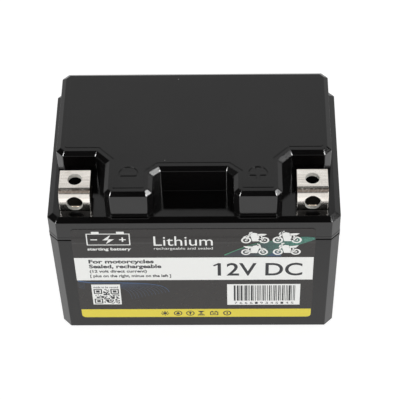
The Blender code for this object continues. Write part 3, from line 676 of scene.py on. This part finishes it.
def sheet_y(z):
    """The label's outer face at a height: the drafted wall, and a soft ridge over the lips at the seam."""
    wall = -HALF_Y + DRAFT_Y * (1 - min(z / DRAFT_TOP_Z, 1))
    low, high = RIDGE_Z
    ridge = smooth_step((z - low) / RIDGE_RISE) * smooth_step((high - z) / RIDGE_RISE)
    return wall - ridge * LIP - SHEET_GAP - SHEET


def drape(name, flat, layer, thickness, finish):
    """Turns a flat mesh of (x, z) into a thin closed print on the label, some way off its face."""
    for i in range(round((RIDGE_Z[1] - RIDGE_Z[0]) / RIDGE_STEP) + 1):
        geometry = list(flat.verts) + list(flat.edges) + list(flat.faces)
        bmesh.ops.bisect_plane(flat, geom=geometry, plane_co=(0, RIDGE_Z[0] + RIDGE_STEP * i, 0),
                               plane_no=(0, 1, 0))
    for face in flat.faces:
        if face.normal.z < 0:
            face.normal_flip()
    bmesh.ops.solidify(flat, geom=list(flat.faces), thickness=-thickness)
    base = min(vertex.co.z for vertex in flat.verts)
    for vertex in flat.verts:
        x, z, up = vertex.co
        vertex.co = (x, sheet_y(z) - layer - (up - base), z)
    bmesh.ops.recalc_face_normals(flat, faces=flat.faces)
    return add(name, flat, finish, smooth=30)


def ink(name, sheet, layer, finish, thickness=PRINT):
    """One printed area of the label, as a piece; its layer counts up from the film."""
    place(drape(name, sheet.bm, layer * PRINT, thickness, finish), "label_print")


class Sheet:
    """Flat shapes in (x, z), gathered for one ink."""

    def __init__(self):
        self.bm = bmesh.new()

    def shape(self, points):
        verts = [self.bm.verts.new((x, z, 0)) for x, z in points]
        face = self.bm.faces.new(verts)
        face.normal_update()
        if face.normal.z < 0:
            face.normal_flip()
        return self

    def rectangle(self, x, z):
        self.shape([(x[0], z[0]), (x[1], z[0]), (x[1], z[1]), (x[0], z[1])])

    def border(self, x, z, width):
        """Four strips just inside a rectangle's sides."""
        self.rectangle(x, (z[0], z[0] + width))
        self.rectangle(x, (z[1] - width, z[1]))
        self.rectangle((x[0], x[0] + width), (z[0] + width, z[1] - width))
        self.rectangle((x[1] - width, x[1]), (z[0] + width, z[1] - width))

    def ring(self, centre, radius, width, steps=28):
        """A closed ring as quads."""
        rows = []
        for i in range(steps):
            angle = 2 * math.pi * i / steps
            c, s = math.cos(angle), math.sin(angle)
            rows.append([self.bm.verts.new((centre[0] + r * c, centre[1] + r * s, 0))
                         for r in (radius - width / 2, radius + width / 2)])
        for i in range(steps):
            a, b = rows[i], rows[(i + 1) % steps]
            self.bm.faces.new((a[0], a[1], b[1], b[0]))

    def disc(self, centre, radius, steps):
        self.shape([(centre[0] + x, centre[1] + z) for x, z in circle(radius, steps)])

    def line(self, points, width):
        """A stroke through points; width is one number, or one for each point."""
        widths = width if isinstance(width, (list, tuple)) else [width] * len(points)
        rows = []
        for i, (place, w) in enumerate(zip(points, widths)):
            here = Vector(place)
            before = Vector(points[max(i - 1, 0)])
            after = Vector(points[min(i + 1, len(points) - 1)])
            ahead = (after - before).normalized()
            side = Vector((-ahead.y, ahead.x)) * w / 2
            rows.append([self.bm.verts.new((*edge, 0)) for edge in (here + side, here - side)])
        for a, b in zip(rows, rows[1:]):
            self.bm.faces.new((a[1], b[1], b[0], a[0]))
        return self

    def text(self, words, x, z, bold=0.0):
        """Words fitted to a width, standing on a baseline with the given height of capitals."""
        curve = bpy.data.curves.new("words", "FONT")
        curve.body = words
        curve.size = 1.0
        curve.offset = bold
        curve.resolution_u = 5
        curve.fill_mode = "FRONT"
        maker = bpy.data.objects.new("words", curve)
        bpy.context.scene.collection.objects.link(maker)
        graph = bpy.context.evaluated_depsgraph_get()
        mesh = bpy.data.meshes.new_from_object(maker.evaluated_get(graph))
        bpy.data.objects.remove(maker)
        low = min(v.co.x for v in mesh.vertices)
        high = max(v.co.x for v in mesh.vertices)
        for vertex in mesh.vertices:
            vertex.co.x = x[0] + (vertex.co.x - low) / (high - low) * (x[1] - x[0])
            vertex.co.y = z[0] + vertex.co.y / CAPITAL * (z[1] - z[0])
            vertex.co.z = 0
        before = len(self.bm.verts)
        self.bm.from_mesh(mesh)
        self.bm.verts.ensure_lookup_table()
        bmesh.ops.remove_doubles(self.bm, verts=self.bm.verts[before:], dist=0.002)
        bpy.data.meshes.remove(mesh)


def curve_points(points, steps=8):
    """A Catmull-Rom curve through (x, z) points."""
    ends = [Vector(p) for p in points]
    ends = [2 * ends[0] - ends[1]] + ends + [2 * ends[-1] - ends[-2]]
    route = []
    for a, b, c, d in zip(ends, ends[1:], ends[2:], ends[3:]):
        for i in range(steps):
            t = i / steps
            square = (2 * a - 5 * b + 4 * c - d) * t**2
            cube = (3 * b - a - 3 * c + d) * t**3
            route.append(tuple((2 * b + (c - a) * t + square + cube) / 2))
    return route + [tuple(points[-1])]


def motorcycle(sheet, x, z, size, kind):
    """A plain pictogram: two wheels, tank, seat, engine, fork and bars. Only kind 2 faces right."""
    wheel = 0.18 * size

    def at(u, v):
        return (x + (u if kind == 2 else 1 - u) * size, z + v * size)

    def part(*points):
        sheet.shape([at(u, v) for u, v in points])

    rear = at(0.18, 0.18)
    front = at(0.82, 0.18)
    for hub in (rear, front):
        sheet.ring(hub, wheel * 0.82, wheel * 0.36)
        sheet.disc(hub, wheel * 0.3, 10)
    sheet.line([front, at(0.70, 0.50), at(0.66, 0.60 + 0.04 * kind)], 0.07 * size)
    sheet.line([at(0.60, 0.63 + 0.03 * kind), at(0.71, 0.60)], 0.05 * size)
    part((0.38, 0.42), (0.66, 0.38), (0.70, 0.50), (0.58, 0.60), (0.44, 0.57))
    part((0.08, 0.52 + 0.02 * kind), (0.18, 0.43), (0.40, 0.41), (0.43, 0.52), (0.28, 0.54))
    part((0.34, 0.12), (0.60, 0.12), (0.66, 0.38), (0.36, 0.42))
    sheet.line([rear, at(0.38, 0.24)], 0.08 * size)
    sheet.line([rear, at(0.30, 0.44)], 0.05 * size)
    if kind % 2:
        part((0.70, 0.48), (0.80, 0.47), (0.76, 0.60), (0.68, 0.58))
    else:
        sheet.line([at(0.66, 0.42), at(0.80, 0.42), at(0.93, 0.34)], 0.04 * size)


# Words, the width they fill, their baseline and the top of their capitals, and how much bolder they are
DARK_WORDS = (
    ("12V DC", (8.9, 42.8), (36.3, 44.7), 0.012),
    ("For motorcycles", (-42.5, -16.5), (44.9, 47.2), 0.034),
    ("Sealed, rechargeable", (-42.5, -13.6), (41.6, 43.9), 0.034),
    ("(12 volt direct current)", (-42.5, -19.5), (38.6, 40.3), 0.03),
    ("[ plus on the right, minus on the left ]", (-42.5, -9.9), (35.4, 37.1), 0.03),
)
WHITE_WORDS = (
    ("Lithium", (-16.0, 7.2), (56.6, 62.7)),
    ("rechargeable and sealed", (-16.0, 7.2), (54.0, 55.6)),
)
WHITE_BAND_Z = (33.2, 48.5)
CELLS_FIELD = ((-42.6, -30.9), (16.0, 30.2))
BARS_FIELD = ((12.6, 42.3), (15.4, 30.1))
YELLOW_TOP_Z = 12.4
# Left edge, foot and length
PICTOGRAMS = ((18.3, 58.0, 11.0), (30.6, 58.0, 11.4), (18.3, 50.2, 10.6), (30.8, 50.2, 11.0))


def label():
    left, right = LABEL_LOW.x, LABEL_HIGH.x
    bottom, top = LABEL_LOW.z, LABEL_HIGH.z
    film = printed("label_film", (0.0145, 0.0112, 0.0100), 0.28, 0.2)
    white = printed("white_ink", (0.96, 0.965, 0.94), spread=0.02)
    dark = printed("dark_ink", (0.012, 0.013, 0.018))
    yellow = printed("yellow_ink", (0.86, 0.72, 0.05))
    green = printed("green_ink", (0.08, 0.36, 0.20))
    blue = printed("blue_ink", (0.05, 0.11, 0.24))
    haze = printed("haze_ink", (0.035, 0.080, 0.150))
    faint_blue = printed("faint_blue_ink", (0.045, 0.070, 0.125))
    mesh_ink = green_mesh()

    corners = [(left, bottom), (right, bottom), (right, top), (left, top)]
    flat = Sheet().shape(rounded(corners, SHEET_CORNER, steps=6))
    place(drape("label_sheet", flat.bm, -SHEET, SHEET, film), "label_print", "front_label")

    areas = Sheet()
    areas.rectangle((left + 0.1, right - 0.35), WHITE_BAND_Z)
    areas.rectangle(*CELLS_FIELD)
    areas.rectangle(*BARS_FIELD)
    ink("label_white_areas", areas, 0, white)

    x0, x1, z0 = left + 0.3, right - 0.3, bottom + 0.3
    foot = [(x0, YELLOW_TOP_Z), (x0, z0), (x1, z0), (x1, YELLOW_TOP_Z)]
    ink("label_yellow_band", Sheet().shape(rounded(foot, [0, 2.0, 2.0, 0], closed=False)), 0, yellow)

    writing = Sheet()
    for words in DARK_WORDS:
        writing.text(*words)
    writing.line([(9.6, 44.4), (7.3, 42.9)], 0.9)    # flag of the large 1
    bars(writing)
    cells(writing)
    icons(writing)
    ink("label_dark_print", writing, 1, dark)

    bright = Sheet()
    for words in WHITE_WORDS:
        bright.text(*words)
    emblem(bright)
    for kind, (x, z, size) in enumerate(PICTOGRAMS):
        motorcycle(bright, x, z, size, kind)
    ink("label_white_print", bright, 3, white)

    wing(mesh_ink, haze, green)
    arcs(blue, faint_blue)


def wing(mesh_ink, haze, green):
    """The wing behind the pictograms: its crest and trailing edge, a dark patch, and a bright edge."""
    crest = curve_points([(11.7, 50.1), (16.9, 53.6), (22.6, 56.9), (29.1, 59.0), (41.8, 61.8),
                          (47.2, 61.5)])
    trail = curve_points([(47.2, 60.2), (43.9, 58.3), (38.7, 55.4), (33.4, 50.6), (32.4, 49.2)])
    ink("label_mesh_print", Sheet().shape(crest + trail + [(12.0, 49.2)]), 0, mesh_ink)
    patch = [(28.4, 49.2), (34.2, 49.2), (33.8, 51.8), (32.0, 52.4), (30.6, 51.4)]
    ink("label_haze_print", Sheet().shape(patch), 1, haze)
    edge = [p for p in crest if p[0] < 33.0]
    widths = [0.45 - 0.3 * i / len(edge) for i in range(len(edge))]
    ink("label_green_edge", Sheet().line(edge, widths), 1, green)


def arcs(blue, faint_blue):
    """A tapered line across the dark part of the film, and fainter copies that fan out below it."""
    arch = curve_points([(-47.8, 32.8), (-42.2, 31.5), (-35.5, 31.4), (-29.4, 31.3), (-22.0, 30.9),
                         (-17.2, 30.1), (-13.9, 28.9), (-11.8, 26.8), (-11.0, 24.7)])
    widths = [0.75 - 0.65 * i / len(arch) for i in range(len(arch))]
    ink("label_blue_line", Sheet().line(arch, widths), 0, blue)

    def spread(x):
        return max(0, (x + 33) / 22)

    faint = Sheet()
    shown = arch[::4]
    for i in range(1, 12):
        faint.line([(x - 1.4 * i * spread(x), z - i * (0.2 + 0.25 * spread(x)))
                    for x, z in shown if x > -30.5], 0.17)
    for i in range(1, 6):
        faint.line([(x, z - 0.9 * i) for x, z in shown if x < -43.0], 0.17)
    ink("label_faint_lines", faint, 0, faint_blue, PRINT * 0.6)


def green_mesh():
    """Ink with a fine mesh of dots that turns from slate blue on the left to sea green on the right."""
    made = Finish("green_mesh_ink", (0.10, 0.27, 0.21), 0.34, ior=1.47)
    fade = made.between(made.along("X"), 23 * MM, 40 * MM)
    dotted = made.between(made.dots(1500), 0.2, 0.6)
    sea = made.mixed(dotted, (0.08, 0.30, 0.22), (0.03, 0.15, 0.115))
    made.colour(made.mixed(fade, (0.030, 0.037, 0.048), sea))
    made.rough(made.between(made.noise(120, 3), 0.3, 0.7, 0.3, 0.38))
    made.bump(made.noise(90, 2), 0.1, 0.0001)
    return made.material


def bars(sheet):
    """An invented row of bars with small digits under it."""
    draw = random.Random(11)
    x = 15.3
    while x < 40.3:
        wide = draw.choice((0.28, 0.28, 0.5, 0.75))
        sheet.rectangle((x, min(x + wide, 40.6)), (18.4, 29.2))
        x += wide + draw.choice((0.25, 0.3, 0.5))
    for i in range(12):
        sheet.text(str(draw.randrange(10)), (15.6 + 2.1 * i, 16.7 + 2.1 * i), (16.0, 17.5))


def cells(sheet):
    """An invented grid of cells with three square corner marks."""
    draw = random.Random(5)
    count, mark = 21, 7
    low_x, low_z, size = -41.9, 16.7, 10.3
    step = size / count
    seam = 0.004
    far = count - mark

    def in_corner(i, j):
        return (i <= mark and (j <= mark or j >= far - 1)) or (i >= far - 1 and j >= far - 1)

    for j in range(count):
        i = 0
        while i < count:
            run = 0
            while i + run < count and not in_corner(i + run, j) and draw.random() < 0.5:
                run += 1
            if run:
                z = low_z + j * step
                sheet.rectangle((low_x + i * step, low_x + (i + run) * step - seam), (z, z + step - seam))
            i += run + 1
    for i, j in ((0, 0), (0, far), (far, far)):
        x, z, side = low_x + i * step, low_z + j * step, mark * step
        sheet.border((x, x + side), (z, z + side), step)
        sheet.rectangle((x + 2 * step, x + side - 2 * step), (z + 2 * step, z + side - 2 * step))
    sheet.text("made to be reused", (-41.8, -31.8), (27.7, 28.9), 0.01)


def icons(sheet):
    """Six small plain signs: sun, drop, arrow, hourglass, battery and bar, three of them in rings."""
    z = 9.35

    def around(x, points):
        return [(x + u, z + v) for u, v in points]

    def plate(x, low, high, foot, head):
        sheet.rectangle((x + low, x + high), (z + foot, z + head))

    sun, drop, arrow, hourglass, battery, bar = -13.3, -7.9, -2.8, 1.7, 7.1, 12.5
    sheet.disc((sun, z), 0.8, 14)
    for i in range(8):
        c, s = math.cos(math.pi / 4 * i), math.sin(math.pi / 4 * i)
        sheet.line(around(sun, [(1.05 * c, 1.05 * s), (1.7 * c, 1.7 * s)]), 0.45)
    sheet.ring((drop, z), 1.55, 0.4)
    sheet.shape(around(drop, [(0, 1.1), (-0.7, 0.1), (-0.8, -0.5), (-0.4, -0.9), (0.4, -0.9), (0.8, -0.5),
                              (0.7, 0.1)]))
    sheet.ring((arrow, z), 1.55, 0.4)
    sheet.line(around(arrow, [(0, -1.0), (0, 0.2)]), 0.55)
    sheet.shape(around(arrow, [(-0.9, 0.1), (0.9, 0.1), (0, 1.1)]))
    sheet.shape(around(hourglass, [(-1.4, 1.6), (0, 0.1), (1.4, 1.6)]))
    sheet.shape(around(hourglass, [(-1.4, -1.0), (1.4, -1.0), (0, 0.0)]))
    plate(hourglass, -1.5, 1.5, -1.65, -1.25)
    sheet.border((battery - 1.7, battery + 1.7), (z - 1.4, z + 1.0), 0.4)
    plate(battery, -1.2, -0.5, 1.05, 1.5)
    plate(battery, 0.5, 1.2, 1.05, 1.5)
    plate(battery, -0.7, 0.7, -0.45, 0.05)
    sheet.ring((bar, z), 1.45, 0.5)
    sheet.line([(bar, z - 0.8), (bar, z + 0.8)], 0.5)


def emblem(sheet):
    """A plain battery outline with a bolt and the two signs in it."""
    x0, x1 = -42.3, -25.1
    low, high = 57.0, 64.4
    sheet.border((x0, x1), (low, high), 0.45)
    sheet.rectangle((x0 + 2.2, x0 + 5.2), (high, high + 1.2))
    sheet.rectangle((x1 - 5.2, x1 - 2.2), (high, high + 1.2))
    middle, level = (x0 + x1) / 2, (low + high) / 2
    for turn in (1, -1):
        bolt = ((1.0, 2.8), (-2.3, -0.3), (-0.2, -0.3))
        sheet.shape([(middle + turn * u, level + turn * v) for u, v in bolt])
    thin = 0.3
    for sign in (-1, 1):
        x = middle + sign * 5.6
        sheet.rectangle((x - 1.3, x + 1.3), (level - thin, level + thin))
        if sign > 0:
            sheet.rectangle((x - thin, x + thin), (level + thin, level + 1.3))
            sheet.rectangle((x - thin, x + thin), (level - 1.3, level - thin))
    sheet.text("starting battery", (x0, x1), (53.7, 55.4), 0.03)


# ---------------------------------------------------------------- foam

def foam_piece(node, finish, crown=0.06):
    """A soft block inside the CAD's box: round edges, and wide faces that swell towards their middle."""
    low, high = span(node)
    middle = (low + high) / 2
    half = (high - low) / 2
    bm = bmesh.new()
    bmesh.ops.create_cube(bm, size=2)
    bmesh.ops.subdivide_edges(bm, edges=bm.edges, cuts=9, use_grid_fill=True)
    radius = min(half) * 0.7
    thin = half[:].index(min(half))
    for vertex in bm.verts:
        unit = vertex.co.copy()
        point = Vector([u * h for u, h in zip(unit, half)])
        inner = Vector([max(-h + radius, min(h - radius, p)) for p, h in zip(point, half)])
        offset = point - inner
        if offset.length > 0:
            point = inner + offset.normalized() * min(offset.length, radius)
        point[thin] *= 1 - crown * sum(unit[j] ** 2 for j in range(3) if j != thin) / 2
        vertex.co = middle + point
    made = add(node + "_soft", bm, finish, smooth=60)
    place(made, "black_foam", node)


# ---------------------------------------------------------------- build

CASE_BLACK = moulded_black("case_black_finish", (0.0026, 0.0022, 0.0024), 0.17, 1.41)
LID_BLACK = moulded_black("lid_black_finish", (0.0022, 0.0019, 0.0020), 0.13, 1.485)
PLATED = plated()
CUT = grained("strip_cut_finish", (0.95, 0.91, 0.85), 0.45, metallic=0.25, scale=1500, spread=0.1)
DULL = grained("strip_inside_finish", (0.022, 0.019, 0.016), 0.5, metallic=0.9, scale=900)
FOAM = foam()

place(lid_shell(LID_BLACK), "lid_black", "lid")
place(case_shell(CASE_BLACK), "case_black", "case_box")
for sign, word in ((-1, "negative"), (1, "positive")):
    place(terminal(word + "_terminal_strip", sign, PLATED, DULL, CUT), "plated_strip", word + "_terminal")
label()
for pad in ("bottom_foam_pad", "top_foam_pad", "front_foam_block", "rear_foam_block"):
    foam_piece(pad, FOAM)

# The CAD nodes that keep their shape: finish, colour, roughness, metallic, scale of the grain, nodes
KEPT_NODES = (
    ("seal_rubber", (0.02, 0.02, 0.021), 0.7, 0.0, 900,
     ["negative_terminal_seal", "positive_terminal_seal"]),
    ("adhesive", (0.045, 0.043, 0.04), 0.35, 0.0, 200, ["lid_sealing_bead"]),
    ("cell_wrap", (0.03, 0.13, 0.33), 0.3, 0.0, 300, ["cell_1", "cell_2", "cell_3", "cell_4"]),
    ("holder", (0.05, 0.05, 0.052), 0.5, 0.0, 700, ["lower_cell_holder", "upper_cell_holder"]),
    ("nickel", (0.66, 0.62, 0.56), 0.25, 1.0, 900,
     ["link_1_2", "link_2_3", "link_3_4", "negative_end_tab", "positive_end_tab"]),
    ("board", (0.02, 0.16, 0.06), 0.35, 0.0, 500, ["protection_board"]),
    ("aluminium", (0.78, 0.78, 0.79), 0.35, 1.0, 800, ["transistor_heat_spreader"]),
    ("white_plastic", (0.78, 0.77, 0.73), 0.45, 0.0, 600, ["sense_connector"]),
    ("tinned", (0.72, 0.70, 0.67), 0.3, 1.0, 900, ["negative_lug", "positive_lug"]),
    ("zinc", (0.62, 0.62, 0.63), 0.32, 1.0, 900,
     ["negative_lug_screw", "positive_lug_screw", "negative_lug_nut", "positive_lug_nut"]),
    ("black_silicone", (0.018, 0.018, 0.019), 0.55, 0.0, 800,
     ["cell_negative_lead", "output_negative_lead", "sense_wire_0"]),
    ("red_silicone", (0.42, 0.016, 0.014), 0.5, 0.0, 800, ["positive_lead", "sense_wire_4"]),
    ("yellow_silicone", (0.72, 0.50, 0.03), 0.5, 0.0, 800, ["sense_wire_1"]),
    ("green_silicone", (0.03, 0.28, 0.07), 0.5, 0.0, 800, ["sense_wire_2"]),
    ("blue_silicone", (0.03, 0.09, 0.42), 0.5, 0.0, 800, ["sense_wire_3"]),
    ("insulating_paper", (0.40, 0.35, 0.24), 0.75, 0.0, 600, ["insulating_sheet"]),
)
GRAIN = {"cell_wrap": {"depth": 0.1}, "white_plastic": {"spread": 0.05}}    # where it isn't the usual
for kind, colour, roughness, metallic, scale, nodes in KEPT_NODES:
    finish = grained(kind + "_finish", colour, roughness, metallic, scale, **GRAIN.get(kind, {}))
    for node in nodes:
        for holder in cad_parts[node].material_slots:
            holder.material = finish


# ---------------------------------------------------------------- floor, light, camera

def floor():
    """A wide pale floor, a little self-lit so that it stays white to its edges."""
    bm = bmesh.new()
    bmesh.ops.create_grid(bm, x_segments=2, y_segments=2, size=4000)
    made = Finish("pale_floor", (0.9, 0.9, 0.9), 0.9)
    made.shader.inputs["Specular IOR Level"].default_value = 0.0
    made.colour(made.mixed(made.noise(40), (0.34, 0.34, 0.34), (0.36, 0.36, 0.36)))
    made.shader.inputs["Emission Color"].default_value = (1, 1, 1, 1)
    made.shader.inputs["Emission Strength"].default_value = 0.90
    ground = add("floor", bm, made.material, smooth=0)
    ground.location.z = -0.0002


def sky():
    """A studio seen by direction: bright in front and behind, and overhead between two dark gaps."""
    world = bpy.data.worlds.new("studio")
    bpy.context.scene.world = world
    world.use_nodes = True
    tree = world.node_tree

    def math_node(operation, a, b=0.0):
        return add_node(tree, "ShaderNodeMath", {0: a, 1: b}, operation=operation).outputs[0]

    place = add_node(tree, "ShaderNodeTexCoord", {}).outputs["Generated"]
    parts = add_node(tree, "ShaderNodeSeparateXYZ", {0: place})
    angle = math_node("ARCTAN2", parts.outputs["Z"], math_node("MULTIPLY", parts.outputs["Y"], -1.0))
    ramp = add_node(tree, "ShaderNodeValToRGB", {0: math_node("DIVIDE", angle, math.pi)})
    stops = ((0, 0.86), (47, 0.86), (50, 0.02), (86, 0.02), (88, 1.0), (106, 1.0), (108, 0.02),
             (126.5, 0.02), (128, 0.85), (180, 0.85))    # degrees up from the front, brightness
    elements = ramp.color_ramp.elements
    elements.remove(elements[1])
    for i, (degrees, level) in enumerate(stops):
        stop = elements[0] if i == 0 else elements.new(degrees / 180)
        stop.position = degrees / 180
        stop.color = (level, level, level, 1)
    to_side = add_node(tree, "ShaderNodeMapRange", {
        "Value": math_node("ABSOLUTE", parts.outputs["X"]), "From Min": 0.55, "From Max": 0.8})
    side_level = add_node(tree, "ShaderNodeMapRange", {
        "Value": parts.outputs["Z"], "From Min": 0.35, "From Max": 0.5, "To Min": 0.8, "To Max": 0.03})
    mix = add_node(tree, "ShaderNodeMix", {
        "Factor": to_side.outputs["Result"], 6: ramp.outputs["Color"], 7: side_level.outputs["Result"],
    }, data_type="RGBA")
    background = tree.nodes["Background"]
    tree.links.new(mix.outputs[2], background.inputs["Color"])
    background.inputs["Strength"].default_value = 1.0


def softbox(name, direction, along, size, power):
    """A lamp that faces the battery, its longer side along a direction; it only shows in gloss."""
    lamp = bpy.data.lights.new(name, "AREA")
    lamp.shape = "RECTANGLE"
    lamp.size, lamp.size_y = size
    lamp.energy = power
    made = bpy.data.objects.new(name, lamp)
    made.visible_diffuse = False
    back = Vector(direction).normalized()
    side = (Vector(along) - back * back.dot(Vector(along))).normalized()
    turn = Matrix((side, back.cross(side), back)).transposed().to_4x4()
    made.matrix_world = Matrix.Translation(back * LAMP_DISTANCE + Vector((0, 0, LEDGE_Z * MM))) @ turn
    bpy.context.scene.collection.objects.link(made)


def camera():
    """The camera in front of the battery and above it."""
    yaw, pitch, roll = (math.radians(degrees) for degrees in CAMERA_TURN)
    flat = math.cos(pitch)
    forward = Vector((math.sin(yaw) * flat, math.cos(yaw) * flat, -math.sin(pitch)))
    level = Vector((math.cos(yaw), -math.sin(yaw), 0))
    upward = level.cross(forward)
    right = math.cos(roll) * level + math.sin(roll) * upward
    up = math.cos(roll) * upward - math.sin(roll) * level
    lens = bpy.data.cameras.new("camera")
    lens.lens = LENS
    lens.sensor_width = 36
    lens.shift_x, lens.shift_y = LENS_SHIFT
    lens.clip_end = 20
    made = bpy.data.objects.new("camera", lens)
    turn = Matrix((right, up, -forward)).transposed().to_4x4()
    made.matrix_world = Matrix.Translation(Vector(CAMERA_AT) * MM) @ turn
    bpy.context.scene.collection.objects.link(made)
    bpy.context.scene.camera = made


floor()
sky()
softbox("right_softbox", (0.7172, -0.1839, 0.6723), (0.817, 0.266, -0.511), (0.28, 0.12), 2.0)
for word, side in (("right", 1), ("left", -1)):
    softbox(word + "_glint", (side * 0.495, -0.424, 0.756), (side * 0.337, 0.232, -0.09), (0.36, 0.14), 9.0)
camera()
bpy.context.scene.view_settings.view_transform = "Standard"
